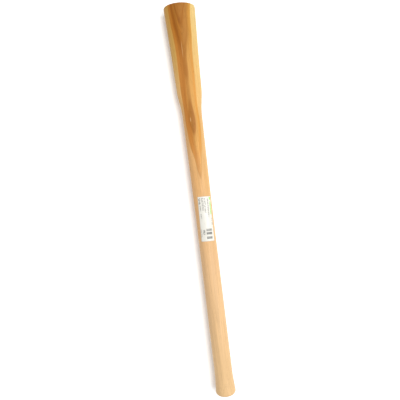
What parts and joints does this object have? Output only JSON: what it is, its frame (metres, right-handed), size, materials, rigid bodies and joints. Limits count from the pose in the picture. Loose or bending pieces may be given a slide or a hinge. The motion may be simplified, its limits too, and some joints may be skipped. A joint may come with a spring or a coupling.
{
  "type": "splitting maul handle",
  "caption": "Straight two-handed wooden tool handle with a flared oval eye for a slip-on head, an oval grip, a swelled butt and a paper label.",
  "frame": {"origin": "the centre of the flat head-end face, on the handle's long axis", "axes": "+X out of the head-end face, so the handle runs from the origin along -X to its butt; +Z out of the upper broad side, where the label is; Y across the width of the eye"},
  "size_m": [0.914, 0.0764, 0.0478],
  "materials": {
    "wood": "sanded flat-sawn hardwood with a thin clear coat, brown heartwood at the head end running out into pale sapwood",
    "paper": "white self-adhesive paper, printed with plain grey rules, a green bar and stripes"
  },
  "bodies": {
    "root": {"handle": "wood", "label": "paper"}
  },
  "joints": []
}
